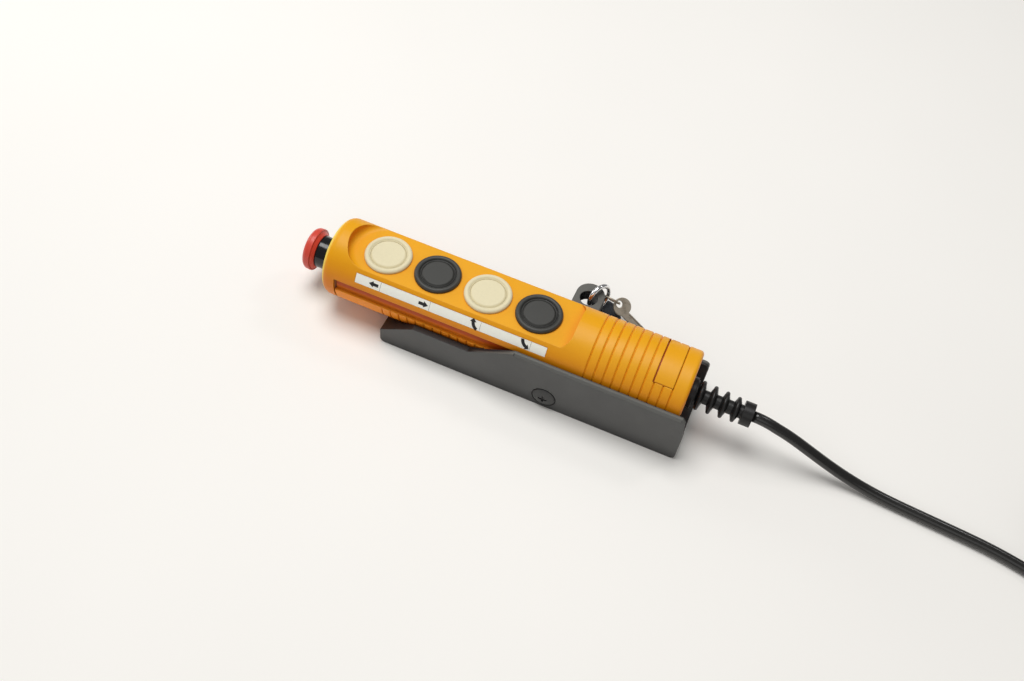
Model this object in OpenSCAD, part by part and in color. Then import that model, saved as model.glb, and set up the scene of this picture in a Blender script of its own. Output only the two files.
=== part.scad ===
// Pushbutton control pendant lying face up in its wall holder.
// X runs along the pendant, from the red stop head to the cable. Z is up.
// Every module below is drawn with X = 0 at the nose and Z = 0 on the barrel's axis;
// in_frame() then moves it to the holder's back face.

/* [Pendant body] */
// Length of the body, nose to cable end
body_len = 218.6; // [216:0.2:222]
// Diameter of the round barrel
body_d = 47; // [46:0.5:49]
// Wall of both shells
wall_t = 2.5; // [2:0.1:2.8]
// Thickness of the closed nose wall
nose_t = 4; // [3:0.5:5]
// Radius that rounds the nose edge
nose_round = 5.5; // [3:0.5:6]
// Radius that rounds the cable end's edge
end_round = 2.2; // [1:0.2:2.4]
// Height of the flat button face above the barrel's axis
face_h = 16.5; // [16:0.1:17]
// Thickness of the wall under the button face
face_t = 3; // [2.5:0.1:3.4]
// Distance from the nose to the rim of the round cove
cove_start = 10; // [9.5:0.1:12]
// Diameter of the cove seen from above
cove_d = 42; // [40:0.5:43]
// Radius that blends the cove into the flat face
cove_fillet = 4; // [2:0.5:7]
// Distance from the nose to the square end of the flat face
face_end = 149.5; // [147:0.5:152]
// Corner radius of the flat face's square end
face_corner = 8; // [5:1:10]

/* [Joint between the shells] */
// Distance from the nose to where the lower shell starts
joint_start = 9.5; // [8:0.5:12]
// Height of the upper shell's lower edge above the axis
skirt_h = 6; // [5:0.5:7]
// Depth of the lower shell's edge under the axis
ledge_drop = 1.5; // [1:0.5:3]
// Depth of the long groove between the two shells
side_groove_t = 2; // [1.5:0.1:2.2]
// Thickness of the seal between the shells
seal_t = 1; // [0.6:0.1:1.4]
// Height of the lip that reaches inside the upper shell
lip_h = 3; // [2:0.5:4]
// Thickness of that lip
lip_t = 1.6; // [1.2:0.1:2]
// Clearance between the lip and the upper shell
lip_gap = 0.3; // [0.2:0.05:0.5]

/* [Grip] */
// Distance between two grip grooves
groove_pitch = 5.3; // [5:0.1:5.6]
// Distance from the upper shell's first groove to the cable end
groove_run = 56.4; // [54:0.1:58]
// Number of grooves in the upper shell
groove_count = 10; // [8:1:10]
// Number of grooves that the lower shell has further forward
groove_more = 23; // [18:1:24]
// Width of a groove at the surface
groove_w = 1.2; // [0.8:0.1:1.6]
// Depth of a groove
groove_depth = 0.7; // [0.4:0.1:0.9]

/* [Service hatch] */
// Distance from the hatch's start to the cable end
hatch_inset = 20.5; // [19.5:0.1:21.5]
// Length of the hatch recess along the pendant
hatch_len = 11.9; // [11:0.1:12.4]
// Half width of the hatch recess
hatch_half_w = 15.8; // [14:0.1:17]
// Thickness of the hatch cover
hatch_t = 1.3; // [1:0.1:1.5]
// Wide gap at the hatch's lifting edge
hatch_lift_gap = 0.9; // [0.6:0.1:1.2]
// Fine gap at the hatch's other edges
hatch_gap = 0.3; // [0.2:0.05:0.4]
// Width of the ledge that the hatch lies on
hatch_ledge = 2.2; // [1.5:0.1:2.6]

/* [Label] */
// Distance from the nose to the label strip
label_start = 22.5; // [20:0.5:26]
// Length of the label strip
label_len = 116.3; // [110:0.1:120]
// Angle of the strip's lower edge above the horizontal
label_low_deg = 23.8; // [22:0.1:26]
// Angle that the strip covers round the barrel
label_deg = 14; // [12:0.5:15]
// Thickness of the strip
label_t = 0.3; // [0.2:0.05:0.4]

/* [Buttons] */
// Distance from the nose to the first button
button_first = 33.5; // [33:0.5:35]
// Distance between two buttons
button_pitch = 31; // [30:0.25:31.5]
// Distance of the button row from the barrel's middle, towards the label
button_side = 0.9; // [0.5:0.1:1.2]
// Diameter of the light rims
light_rim_d = 27.4; // [26.5:0.1:28]
// Diameter of the light caps
light_cap_d = 20.2; // [19:0.1:20.4]
// Diameter of the dark rims
dark_rim_d = 27; // [26:0.1:27.5]
// Diameter of the dark caps
dark_cap_d = 18.4; // [17:0.1:19]
// Gap between a cap and its rim
cap_gap = 0.1; // [0.06:0.01:0.1]
// Height of a rim above the face
rim_h = 2.3; // [2:0.1:2.8]
// Radius of the bead round a rim
rim_bead_r = 1.6; // [1.2:0.1:1.8]
// Depth of the groove inside the bead
groove_drop = 1.1; // [0.8:0.1:1.3]
// Width of the fine ridge beside a cap
rim_ridge_w = 0.4; // [0.3:0.05:0.5]
// Slope at a cap's edge: its width
cap_edge_w = 0.9; // [0.6:0.1:1.2]
// Slope at a cap's edge: its depth
cap_edge_drop = 0.7; // [0.5:0.1:0.9]
// Height of a cap's face above the button face
cap_h = 2; // [1.6:0.1:2.3]
// Thickness of a cap's face
cap_t = 1.5; // [1.2:0.1:2]
// Radius of the holes in the button face
button_hole_r = 11.1; // [10.9:0.05:11.3]
// Travel of a button
button_travel = 2.5; // [2:0.1:3]
// Radius of a button's plunger
plunger_r = 2.5; // [2:0.1:3]
// Thickness of the nut that holds a rim
rim_nut_t = 2.4; // [2:0.1:3]

/* [Stop button] */
// Drop of the stop button's axis below the barrel's axis
stop_drop = 4; // [3:0.5:5]
// Diameter of the red head
stop_head_d = 25.6; // [24:0.2:28]
// Thickness of the red head
stop_head_t = 5.2; // [5:0.1:7]
// Distance from the nose to the rim's back edge
stop_reach = 13; // [12:0.1:14]
// Length of the red head's conical back
stop_cone = 1.8; // [1:0.1:2.4]
// Radius that rounds the front of the red head
stop_head_round = 3; // [2:0.2:3.4]
// Diameter of the black sleeve behind the head
stop_sleeve_d = 19.4; // [18:0.2:20]
// Wall of that sleeve
stop_sleeve_t = 1.8; // [1.4:0.1:2.2]
// Clearance between the sleeve and its bush
stop_fit = 0.08; // [0.02:0.01:0.1]
// Wall of the bush in the nose
stop_bush_t = 1.4; // [1.2:0.1:2]
// Length of the bush, from the nose inwards
stop_bush_len = 9; // [8.5:0.5:10]
// Travel of the red head
stop_travel = 4.5; // [3:0.1:5]
// Diameter of the stop button's push rod
stop_rod_d = 6; // [5:0.5:7]

/* [Cable entry] */
// Depth of the recess at the cable end
end_recess = 5; // [4:0.5:5.5]
// Thickness of the wall behind that recess
end_wall_t = 3; // [2:0.5:4]
// Diameter of the cable gland's neck
gland_d = 13; // [11:0.5:14]
// Diameter of the gland's flange
gland_flange_d = 18; // [17:0.5:22]
// Distance that the gland's flange stands out of the body
gland_out = 3.5; // [2.5:0.1:4.5]
// Diameter of the cable
cable_d = 6.4; // [6:0.1:6.8]
// Diameter of the strain relief's core
relief_core_d = 8; // [7.6:0.1:9]
// Diameter of the strain relief's largest fin
fin_d = 17.2; // [16:0.2:19]
// Diameter lost from one fin to the next
fin_step = 0.8; // [0.4:0.1:1]
// Number of fins
fin_count = 4; // [3:1:5]
// Distance between two fins
fin_pitch = 6.9; // [6:0.1:7.2]
// Width of a fin at its rim
fin_rim_w = 2.3; // [1.8:0.1:2.6]
// Width of a fin at the core
fin_root_w = 4.2; // [3.5:0.1:5]
// Diameter of the strain relief's end collar
relief_collar_d = 13.8; // [12.5:0.1:15]
// Length of the strain relief's end collar
relief_collar_len = 6; // [5:0.2:8]

/* [Inside] */
// Width of a contact block along the pendant
block_w = 14; // [12:0.5:16]
// Depth of a contact block across the pendant
block_d = 20; // [18:0.5:21]
// Height of the circuit board's face below the axis
board_drop = 7.4; // [7:0.1:8.4]
// Thickness of the circuit board
board_t = 1.6; // [1:0.1:2]
// Half width of the circuit board
board_half_w = 11; // [10.5:0.1:11.4]
// Distance from the nose to the circuit board
board_start = 25; // [24.5:0.1:26]
// Distance from the circuit board to the body's cable end
board_room = 33.6; // [32:0.2:42]
// Diameter of the screw posts
post_d = 6.8; // [6.4:0.1:7]
// Diameter of the housing screws
screw_d = 3; // [2.5:0.1:3.5]
// Distance of the housing screws from the middle
screw_y = 15; // [14.8:0.1:15.2]
// Diameter of the return springs' wire
spring_wire = 0.8; // [0.6:0.1:1]

/* [Holder] */
// Distance from the nose to the holder's low end
holder_start = 41; // [38:1:46]
// Length of the holder
holder_len = 183; // [178:1:188]
// Thickness of the holder's floor under the pendant
base_t = 4.5; // [3.5:0.1:6]
// Clearance between the pendant and the holder
cradle_gap = 0.5; // [0.4:0.1:0.8]
// Thickness of the holder's side walls
side_t = 3; // [2.5:0.1:4]
// Height of the near wall at its low end
tip_h = 11; // [9:0.5:14]
// Height of the near wall's low run
low_h = 23; // [21:0.5:25]
// Height of the near wall's high run
high_h = 37; // [36:0.2:40]
// Height of the far wall
far_h = 21.5; // [20:0.5:23]
// Height of the far wall's raised end
ear_h = 25.2; // [22:0.2:26]
// Length of that raised end
ear_run = 16; // [10:1:24]
// Lean of the near wall's upper corner at the cable end
end_lean = 1.7; // [1:0.1:2.4]
// Length of the slope at the low end
tip_run = 20.5; // [15:0.5:25]
// Distance from the low end to the slope between the runs
step_start = 54.7; // [50:0.5:60]
// Length of the slope between the low and the high run
step_run = 27; // [24:0.2:30]
// Radius of the holder's lower corners
holder_corner = 3; // [2:0.5:4]
// Width of the bevel along the near wall's outer edge
holder_bevel = 1.4; // [0.8:0.1:1.8]

/* [Hanging lug] */
// Distance from the nose to the middle of the lug
lug_x = 144; // [140:0.5:150]
// Width of the lug
lug_w = 17.4; // [16:0.2:20]
// Distance from the barrel's axis to the centre of the lug's round end
lug_reach = 44.8; // [42:0.2:48]
// Thickness of the lug
lug_t = 8; // [6:0.5:9]
// Diameter of the lug's hole
lug_hole_d = 11; // [10:0.2:12]
// Distance of the hole's centre inside the round end's centre
lug_hole_back = 2.8; // [2:0.1:3.5]

/* [Holder screw] */
// Diameter of the round screw head on the near wall
knob_d = 13.4; // [12:0.1:14]
// Height of that head
knob_h = 2.6; // [2:0.1:3.5]
// Height of the screw above the floor
knob_z = 9; // [8.5:0.1:9.5]
// Diameter of the screw's shank
knob_shank_d = 5; // [4:0.5:6]

/* [Keys] */
// Mean radius of the chrome key ring
ring_r = 8; // [7.6:0.1:8.6]
// Diameter of the key ring's wire
ring_wire = 2.8; // [2.4:0.1:3]
// Mean radius of the thin link
link_r = 5.4; // [5.2:0.1:5.6]
// Diameter of the thin link's wire
link_wire = 1.2; // [1:0.1:1.3]
// Diameter of the metal key's bow
key_bow_d = 11; // [10.6:0.1:11.4]
// Length of the metal key from the middle of the bow to the tip
key_len = 24.4; // [22:0.2:26]
// Thickness of the keys
key_t = 1.8; // [1.6:0.1:2]
// Diameter of the hole in the metal key
key_hole_d = 4.4; // [4:0.1:4.6]
// Diameter of the black key bow
fob_d = 23; // [22:0.5:24]
// Thickness of the black key bow
fob_t = 4; // [3:0.1:4.2]

/* [Cable coil] */
// Mean radius of the coiled cable
coil_r = 35; // [34:0.5:38]
// Turns side by side in the coil
coil_wide = 3; // [3:1:3]
// Layers of turns in the coil
coil_high = 3; // [3:1:3]
// Diameter of the connector's body
plug_d = 18; // [16:0.5:20]
// Length of the connector's body
plug_len = 34; // [30:1:40]

/* [Hidden] */
$fn = 72;
eps = 0.01;

body_r = body_d / 2;
inner_r = body_r - wall_t;
axis_h = base_t + cradle_gap + body_r;
floor_z = -axis_h;
far = 200;

// The frame: the holder's back face under the pendant's axis, in line with the lug.
module in_frame() {
    translate([-lug_x, 0, axis_h]) children();
}

// A cylinder from x0 to x1 round the barrel's axis or a line beside it
module along_x(x0, x1, r, z = 0, y = 0) {
    translate([x0, y, z]) rotate([0, 90, 0]) cylinder(h = x1 - x0, r = r);
}

// Turns a profile drawn as [radius, x] round the barrel's axis
module turned_x(z = 0) {
    translate([0, 0, z]) rotate([0, 90, 0]) rotate([0, 0, 180]) rotate_extrude() children();
}

// Half section of a cylinder with rounded ends
module round_profile(r, x0, x1, r0, r1) {
    big = max(r0, r1);
    translate([0, x0]) square([r - big, x1 - x0]);
    translate([0, x0 + r0]) square([r, x1 - x0 - r0 - r1]);
    translate([r - r0, x0 + r0]) circle(r = r0);
    translate([r - r1, x1 - r1]) circle(r = r1);
    translate([r - big - eps, x0]) square([big - r0 + eps, x1 - x0 - r1]);
    translate([r - big - eps, x0 + r0]) square([big - r1 + eps, x1 - x0 - r0]);
}

// A box given by its low and high corners
module span(low, high) {
    translate(low) cube(high - low);
}

// Pendant shells

face_r = cove_d / 2;
cove_x = cove_start + face_r;
face_half_w = sqrt(body_r * body_r - face_h * face_h) + 1;

// Everything above the button face, with the round cove at the nose end
module face_cutter() {
    translate([cove_x, 0, 0]) rotate_extrude() {
        translate([0, face_h]) square([face_r - cove_fillet, body_r]);
        translate([0, face_h + cove_fillet]) square([face_r, body_r]);
        translate([face_r - cove_fillet, face_h + cove_fillet]) circle(r = cove_fillet);
    }
    span([cove_x, -face_half_w, face_h], [face_end - face_corner, face_half_w, far]);
    span([cove_x, face_corner - face_half_w, face_h], [face_end, face_half_w - face_corner, far]);
    for (side = [-1, 1])
        translate([face_end - face_corner, side * (face_half_w - face_corner), face_h])
            cylinder(h = body_r, r = face_corner);
}

// One V groove round the barrel
module groove_ring(x) {
    turned_x() polygon([
        [body_r - groove_depth, x],
        [body_r + groove_depth, x - groove_w],
        [body_r + groove_depth, x + groove_w]
    ]);
}

groove_first = body_len - groove_run;
hatch_start = body_len - hatch_inset;
board_len = body_len - board_room - board_start;
function groove_x(i) = groove_first + i * groove_pitch;

end_wall_x = body_len - end_recess - end_wall_t;
screw_xs = [button_first + button_pitch / 2, groove_x(5) + groove_pitch / 2];
post_r = post_d / 2;

// The space inside the upper shell, with its screw bosses left standing
module upper_space() {
    difference() {
        along_x(nose_t, end_wall_x, inner_r);
        span([nose_t - 1, -far, face_h - face_t], [face_end + face_t, far, far]);
        for (x = screw_xs, side = [-1, 1])
            translate([x, side * screw_y, 0.3]) cylinder(h = body_r, r = post_r);
    }
}

module hatch_block(x0, x1, half_w, r0, r1) {
    intersection() {
        difference() {
            along_x(x0, x1, r1);
            along_x(x0 - 1, x1 + 1, r0);
        }
        span([x0, -half_w, 0], [x1, half_w, far]);
    }
}

module label_band(x0, x1, r0, r1, deg0, deg1) {
    rotate([-deg0, 0, 0]) rotate([0, 90, 0]) rotate([0, 0, -90])
        translate([0, 0, x0]) mirror([0, 1, 0]) rotate_extrude(angle = deg1 - deg0)
            translate([r0, 0]) square([r1 - r0, x1 - x0]);
}

module upper_housing() {
    color("orange") difference() {
        turned_x() round_profile(body_r, 0, body_len, nose_round, end_round);
        span([joint_start, -far, -far], [body_len + 1, far, skirt_h]);
        face_cutter();
        upper_space();
        along_x(body_len - end_recess, body_len + 1, inner_r);
        along_x(end_wall_x - 1, body_len, gland_d / 2 + lip_gap);
        along_x(-1, nose_t + 1, stop_bush_r + lip_gap, -stop_drop);
        for (i = [0:3])
            translate([button_first + i * button_pitch, -button_side, 0])
                cylinder(h = body_r, r = button_hole_r);
        for (x = screw_xs, side = [-1, 1])
            translate([x, side * screw_y, 0]) cylinder(h = face_h - face_t - 2, r = screw_r + 0.05);
        for (i = [0:groove_count - 1]) groove_ring(groove_x(i));
        hatch_block(hatch_start, hatch_start + hatch_len, hatch_half_w, body_r - hatch_t - hatch_gap, body_r + 1);
        hatch_block(hatch_start + hatch_ledge, hatch_start + hatch_len - hatch_ledge,
            hatch_half_w - hatch_ledge, inner_r - 1, body_r + 1);
        label_band(label_start - 0.2, label_start + label_len + 0.2, body_r - label_t, body_r + 1,
            label_low_deg - 0.5, label_low_deg + label_deg + 0.5);
    }
}

band_r = body_r - side_groove_t;
lip_r = inner_r - lip_gap;
band_in_r = lip_r - lip_t;
seal_z = skirt_h - seal_t;
step_z = -ledge_drop - wall_t;
shell_x = joint_start + seal_t;

// The space inside the lower shell, with its screw posts left standing
module lower_space() {
    difference() {
        union() {
            along_x(shell_x - 1, end_wall_x, band_in_r);
            intersection() {
                along_x(shell_x - 1, end_wall_x, inner_r);
                span([0, -far, -far], [body_len, far, step_z]);
            }
        }
        for (x = screw_xs, side = [-1, 1])
            translate([x, side * screw_y, -body_r]) cylinder(h = body_r, r = post_r);
        for (x = board_screw_xs, side = [-1, 1])
            translate([x, side * board_screw_y, -body_r])
                cylinder(h = body_r - board_drop - board_t, r = post_r - 0.8);
        for (side = [-1, 1])
            translate([clamp_x, side * clamp_screw_y, -body_r])
                cylinder(h = body_r - board_drop - board_t, r = post_r - 0.4);
    }
}

module lower_housing() {
    color("darkorange") difference() {
        union() {
            intersection() {
                turned_x() round_profile(body_r, 0, body_len, nose_round, end_round);
                span([shell_x, -far, -far], [body_len + 1, far, -ledge_drop]);
            }
            intersection() {
                along_x(shell_x, body_len - end_recess, band_r);
                span([0, -far, step_z - wall_t], [body_len, far, seal_z]);
            }
            intersection() {
                along_x(shell_x, end_wall_x - 0.5, lip_r);
                span([0, -far, seal_z - 1], [body_len, far, skirt_h + lip_h]);
            }
        }
        lower_space();
        along_x(body_len - end_recess, body_len + 1, inner_r);
        along_x(end_wall_x - 1, body_len, gland_d / 2 + lip_gap);
        span([end_wall_x - 1, -gland_d / 2 - lip_gap, 0], [body_len, gland_d / 2 + lip_gap, far]);
        for (i = [-groove_more:groove_count - 1]) groove_ring(groove_x(i));
        for (x = screw_xs, side = [-1, 1]) {
            translate([x, side * screw_y, -body_r]) cylinder(h = body_r + 1, r = screw_r + 0.2);
            translate([x, side * screw_y, -body_r - 1]) cylinder(h = body_r + 1 - head_seat, r = screw_head_r + 0.2);
            translate([x, side * screw_y, 0]) cylinder(h = body_r, r = post_r + lip_gap);
        }
        for (x = board_screw_xs, side = [-1, 1])
            translate([x, side * board_screw_y, -board_drop - board_t - 5]) cylinder(h = 6, r = board_screw_r + 0.05);
        for (side = [-1, 1])
            translate([clamp_x, side * clamp_screw_y, -board_drop - board_t - 7]) cylinder(h = 8, r = clamp_screw_r + 0.05);
    }
}

// A loop of flat seal: two long strips and a half ring behind the nose
module housing_seal() {
    seal_in = lip_r + lip_gap / 2;
    seal_out = band_r + 0.6;
    color("dimgray") {
        intersection() {
            difference() {
                along_x(joint_start, body_len - end_recess, seal_out);
                along_x(joint_start - 1, body_len, seal_in);
            }
            span([0, -far, seal_z], [body_len, far, skirt_h]);
        }
        intersection() {
            difference() {
                along_x(joint_start, shell_x, seal_out);
                along_x(joint_start - 1, shell_x + 1, seal_in);
            }
            span([0, -far, -far], [body_len, far, skirt_h]);
        }
    }
}

module hatch_cover() {
    color("orange") hatch_block(hatch_start + hatch_lift_gap, hatch_start + hatch_len - hatch_gap,
        hatch_half_w - hatch_gap, body_r - hatch_t, body_r);
}

module label_strip() {
    color("whitesmoke") label_band(label_start, label_start + label_len, body_r - label_t + 0.02, body_r - 0.02,
        label_low_deg, label_low_deg + label_deg);
}

head_seat = 9.5;
screw_r = screw_d / 2 - 0.2;
screw_head_r = screw_d * 0.8;

module housing_screws() {
    color("silver") for (x = screw_xs, side = [-1, 1]) translate([x, side * screw_y, 0]) {
        translate([0, 0, -head_seat]) cylinder(h = head_seat + 8, r = screw_r);
        difference() {
            translate([0, 0, -head_seat - 2.2]) cylinder(h = 2.2, r = screw_head_r);
            translate([-0.4, -screw_d, -head_seat - 2.3]) cube([0.8, 2 * screw_d, 1]);
            translate([-screw_d, -0.4, -head_seat - 2.3]) cube([2 * screw_d, 0.8, 1]);
        }
    }
}

// Buttons

rim_foot = face_h;
rim_bottom = face_h - face_t - rim_nut_t;
cap_face = face_h + cap_h;
block_top = rim_bottom - 1.6;
cap_skirt = block_top + button_travel + 0.5;

function rim_r(i) = (i % 2 == 0 ? light_rim_d : dark_rim_d) / 2;
function cap_r(i) = (i % 2 == 0 ? light_cap_d : dark_cap_d) / 2;

module at_button(i) {
    translate([button_first + i * button_pitch, -button_side, 0]) children();
}

// Soft rim with a rounded crown, and the collar that passes through the face
module button_rim(i) {
    inner = cap_r(i) + cap_gap;
    bead = rim_bead_r;
    top = rim_foot + rim_h;
    color(i % 2 == 0 ? "cornsilk" : "dimgray") at_button(i) rotate_extrude() difference() {
        union() {
            polygon([
                [inner, rim_foot], [rim_r(i), rim_foot], [rim_r(i), top - bead], [rim_r(i) - bead, top],
                [inner + 3 * rim_ridge_w, top - groove_drop - 0.1], [inner + 2 * rim_ridge_w, top - groove_drop - 0.1],
                [inner + rim_ridge_w, top - groove_drop + 0.4], [inner, top - groove_drop + 0.2]
            ]);
            translate([rim_r(i) - bead, top - bead]) intersection() {
                circle(r = bead);
                translate([-bead, bead - rim_h]) square([2 * bead, rim_h]);
            }
            translate([inner, rim_bottom]) square([button_hole_r - 0.15 - inner, rim_foot - rim_bottom + eps]);
        }
        translate([rim_r(i), rim_foot - 0.01]) rotate([0, 0, 45]) square([0.3, 0.3], center = true);
    }
}

module button_cap(i) {
    color(i % 2 == 0 ? "cornsilk" : "dimgray") at_button(i) {
        rotate_extrude() difference() {
            union() {
                polygon([
                    [0, cap_face - cap_t], [cap_r(i), cap_face - cap_t], [cap_r(i), cap_face - cap_edge_drop],
                    [cap_r(i) - cap_edge_w, cap_face], [0, cap_face]
                ]);
                translate([cap_r(i) - 1.5, cap_skirt]) square([1.5, cap_face - cap_skirt - cap_t + eps]);
            }
        }
        translate([0, 0, block_top - 1.2]) cylinder(h = cap_face - 0.6 - block_top + 1.2, r = plunger_r);
    }
}

module rim_nuts() {
    color("black") for (i = [0:3]) at_button(i) difference() {
        translate([0, 0, rim_bottom]) cylinder(h = rim_nut_t, r = button_hole_r + 2);
        translate([0, 0, rim_bottom - 1]) cylinder(h = rim_nut_t + 2, r = button_hole_r - 0.1);
        for (a = [0:60:300])
            rotate([0, 0, a]) translate([button_hole_r + 1.2, -1, rim_bottom - 1]) cube([2, 2, rim_nut_t + 2]);
    }
}

// A coil spring of round wire, built as one swept tube
spring_sides = 6;
spring_steps = 12;
function coil_point(r, pitch, i) =
    [r * cos(i * 360 / spring_steps), r * sin(i * 360 / spring_steps), pitch * i / spring_steps];

module coil_spring(r, len, turns) {
    pitch = (len - spring_wire) / turns;
    sweep([for (i = [0:turns * spring_steps]) coil_point(r, pitch, i) + [0, 0, spring_wire / 2]],
        spring_wire / 2, spring_sides);
}

// A tube swept along a list of points
function unit(v) = v / norm(v);
function heading(p, i) = unit(p[min(i + 1, len(p) - 1)] - p[max(i - 1, 0)]);
function side_of(t) = unit(cross(t, [0, 0, 1]));
function ring_point(c, t, r, a) = c + r * (cos(a) * side_of(t) + sin(a) * cross(side_of(t), t));

module sweep(p, r, sides) {
    last = len(p) - 1;
    points = [for (i = [0:last], k = [0:sides - 1]) ring_point(p[i], heading(p, i), r, k * 360 / sides)];
    walls = [for (i = [0:last - 1], k = [0:sides - 1], half = [0, 1])
        let (a = i * sides + k, b = i * sides + (k + 1) % sides)
        half == 0 ? [a, b, b + sides] : [a, b + sides, a + sides]];
    start_cap = [for (k = [1:sides - 2]) [0, k + 1, k]];
    end_cap = [for (k = [1:sides - 2]) [last * sides, last * sides + k, last * sides + k + 1]];
    polyhedron(points = points, faces = concat(walls, start_cap, end_cap), convexity = 10);
}

module button_spring(i) {
    color("silver") at_button(i) translate([0, 0, block_top + 0.05])
        coil_spring(plunger_r + 2.2, cap_face - cap_t - block_top - 0.1, 4);
}

module contact_block(i) {
    color("ivory") at_button(i) difference() {
        union() {
            span([-block_w / 2, -block_d / 2, -board_drop], [block_w / 2, block_d / 2, block_top - 2]);
            span([-block_w / 2, -block_d / 2 + 3, block_top - 2 - eps], [block_w / 2, block_d / 2 - 3, block_top]);
        }
        translate([0, 0, block_top - button_travel - 2.5]) cylinder(h = far, r = plunger_r + 0.4);
        for (side = [-1, 1], x = [-3.5, 3.5])
            translate([x, side * (block_d / 2 - 1.6), block_top - 6]) cylinder(h = 10, r = 1.2);
    }
}

board_screw_xs = [button_first + button_pitch / 2, button_first + 7 * button_pitch / 2];
board_screw_y = 7;
board_screw_r = 0.9;

module circuit_board() {
    color("green") difference() {
        span([board_start, -board_half_w, -board_drop - board_t],
            [board_start + board_len, board_half_w, -board_drop]);
        for (x = board_screw_xs, side = [-1, 1])
            translate([x, side * board_screw_y, -board_drop - board_t - 1]) cylinder(h = 4, r = 1.4);
    }
}

module board_screws() {
    color("silver") for (x = board_screw_xs, side = [-1, 1]) translate([x, side * board_screw_y, -board_drop]) {
        cylinder(h = 1.4, r = 2.2);
        translate([0, 0, -board_t - 4.5]) cylinder(h = board_t + 4.6, r = board_screw_r);
    }
}

// Emergency stop

stop_back = -stop_reach;
stop_front = stop_back - stop_head_t;
stop_rod_r = stop_rod_d / 2;
stop_sleeve_r = stop_sleeve_d / 2;
stop_bush_r = stop_sleeve_r + stop_fit + stop_bush_t;
stop_sleeve_x = stop_back + stop_cone + 0.2;
stop_sleeve_end = stop_bush_len - 1.5 - stop_travel - 0.5;
stop_block_x = stop_bush_len + 0.3;
stop_dish_r = 60;
stop_dish_depth = 0.5;

// Mushroom head with a rounded front, a dished face and a conical back
module stop_head() {
    head_r = stop_head_d / 2;
    color("red") turned_x(-stop_drop) difference() {
        union() {
            round_profile(head_r, stop_front, stop_back, stop_head_round, 0.5);
            polygon([
                [0, stop_back - 1],
                [head_r - 1, stop_back - 1],
                [head_r - 1, stop_back],
                [stop_sleeve_r + 0.2, stop_back + stop_cone],
                [0, stop_back + stop_cone]
            ]);
        }
        translate([0, stop_front + stop_dish_depth - stop_dish_r]) circle(r = stop_dish_r, $fn = 400);
        translate([0, stop_front + 1.4]) square([stop_rod_r + 0.05, far]);
    }
}

// Sleeve and push rod: they slide with the head, which turns on the rod
module stop_sleeve() {
    color("black") turned_x(-stop_drop) {
        translate([0, stop_sleeve_x]) square([stop_sleeve_r - 0.5, 1.8]);
        translate([0, stop_sleeve_x + 0.5]) square([stop_sleeve_r, 1.3]);
        translate([stop_sleeve_r - 0.5, stop_sleeve_x + 0.5]) circle(r = 0.5);
        translate([stop_sleeve_r - stop_sleeve_t, stop_sleeve_x + 1])
            square([stop_sleeve_t, stop_sleeve_end - stop_sleeve_x - 1]);
        translate([0, stop_front + 1.6]) square([stop_rod_r, stop_block_x + 1 - stop_front - 1.6]);
    }
}

// Bush in the nose wall: the sleeve runs in it
module stop_collar() {
    color("black") turned_x(-stop_drop) difference() {
        translate([0, 0.2]) square([stop_bush_r, stop_bush_len - 0.2]);
        translate([0, -1]) square([stop_sleeve_r + stop_fit, stop_bush_len - 0.5]);
        translate([0, -1]) square([stop_rod_r + 0.1, far]);
    }
}

module stop_nut() {
    nut_r = stop_bush_r + 2.4;
    color("black") difference() {
        along_x(nose_t, nose_t + 3, nut_r, -stop_drop);
        along_x(nose_t - 1, nose_t + 4, stop_bush_r + 0.05, -stop_drop);
        for (a = [0:45:315])
            translate([0, 0, -stop_drop]) rotate([a, 0, 0]) span([nose_t - 1, -1, nut_r - 0.9], [nose_t + 4, 1, far]);
    }
}

module stop_block() {
    half = 8;
    color("ivory") translate([0, 0, -stop_drop]) difference() {
        span([stop_block_x, -half, -half], [board_start - 1, half, half]);
        along_x(stop_block_x - 1, stop_block_x + stop_travel + 2, stop_rod_r + 0.4);
        for (side = [-1, 1])
            translate([board_start - 6, side * 5, half - 4]) cylinder(h = 10, r = 1.3);
    }
}

module stop_spring() {
    spring_x = stop_sleeve_x + 1.85;
    color("silver") translate([spring_x, 0, -stop_drop]) rotate([0, 90, 0])
        coil_spring(stop_rod_r + 1.6, stop_bush_len - 1.55 - spring_x, 5);
}

// Cable entry

relief_x = body_len + gland_out;
fin_first = relief_x + fin_root_w / 2 + 0.5;
relief_end = fin_first + (fin_count - 1) * fin_pitch + fin_root_w / 2 + 1.6 + relief_collar_len;

module cable_gland() {
    flange_x = body_len - end_recess + 0.3;
    gland_r = gland_d / 2;
    color("black") turned_x() difference() {
        union() {
            translate([0, end_wall_x - 3.4]) square([gland_r + 2, 3.1]);
            translate([0, end_wall_x - 1]) square([gland_r, end_wall_t + 2]);
            translate([0, flange_x]) square([gland_flange_d / 2, relief_x - flange_x - 0.8]);
            translate([0, flange_x]) square([gland_flange_d / 2 - 1.2, relief_x - flange_x]);
        }
        translate([0, end_wall_x - 5]) square([relief_core_d / 2 + 0.1, far]);
    }
}

// Finned rubber sleeve: round-edged fins on a slim core, then a plain end collar
module strain_relief() {
    core_r = relief_core_d / 2;
    color("black") turned_x() difference() {
        union() {
            translate([0, end_wall_x - 3.4]) square([core_r, relief_end - end_wall_x + 3]);
            for (i = [0:fin_count - 1])
                translate([0, fin_first + i * fin_pitch]) fin_profile(fin_d / 2 - i * fin_step / 2);
            translate([0, relief_end - relief_collar_len])
                square([relief_collar_d / 2, relief_collar_len]);
        }
        translate([0, end_wall_x - 5]) square([cable_d / 2 + 0.05, relief_end - end_wall_x]);
    }
}

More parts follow.
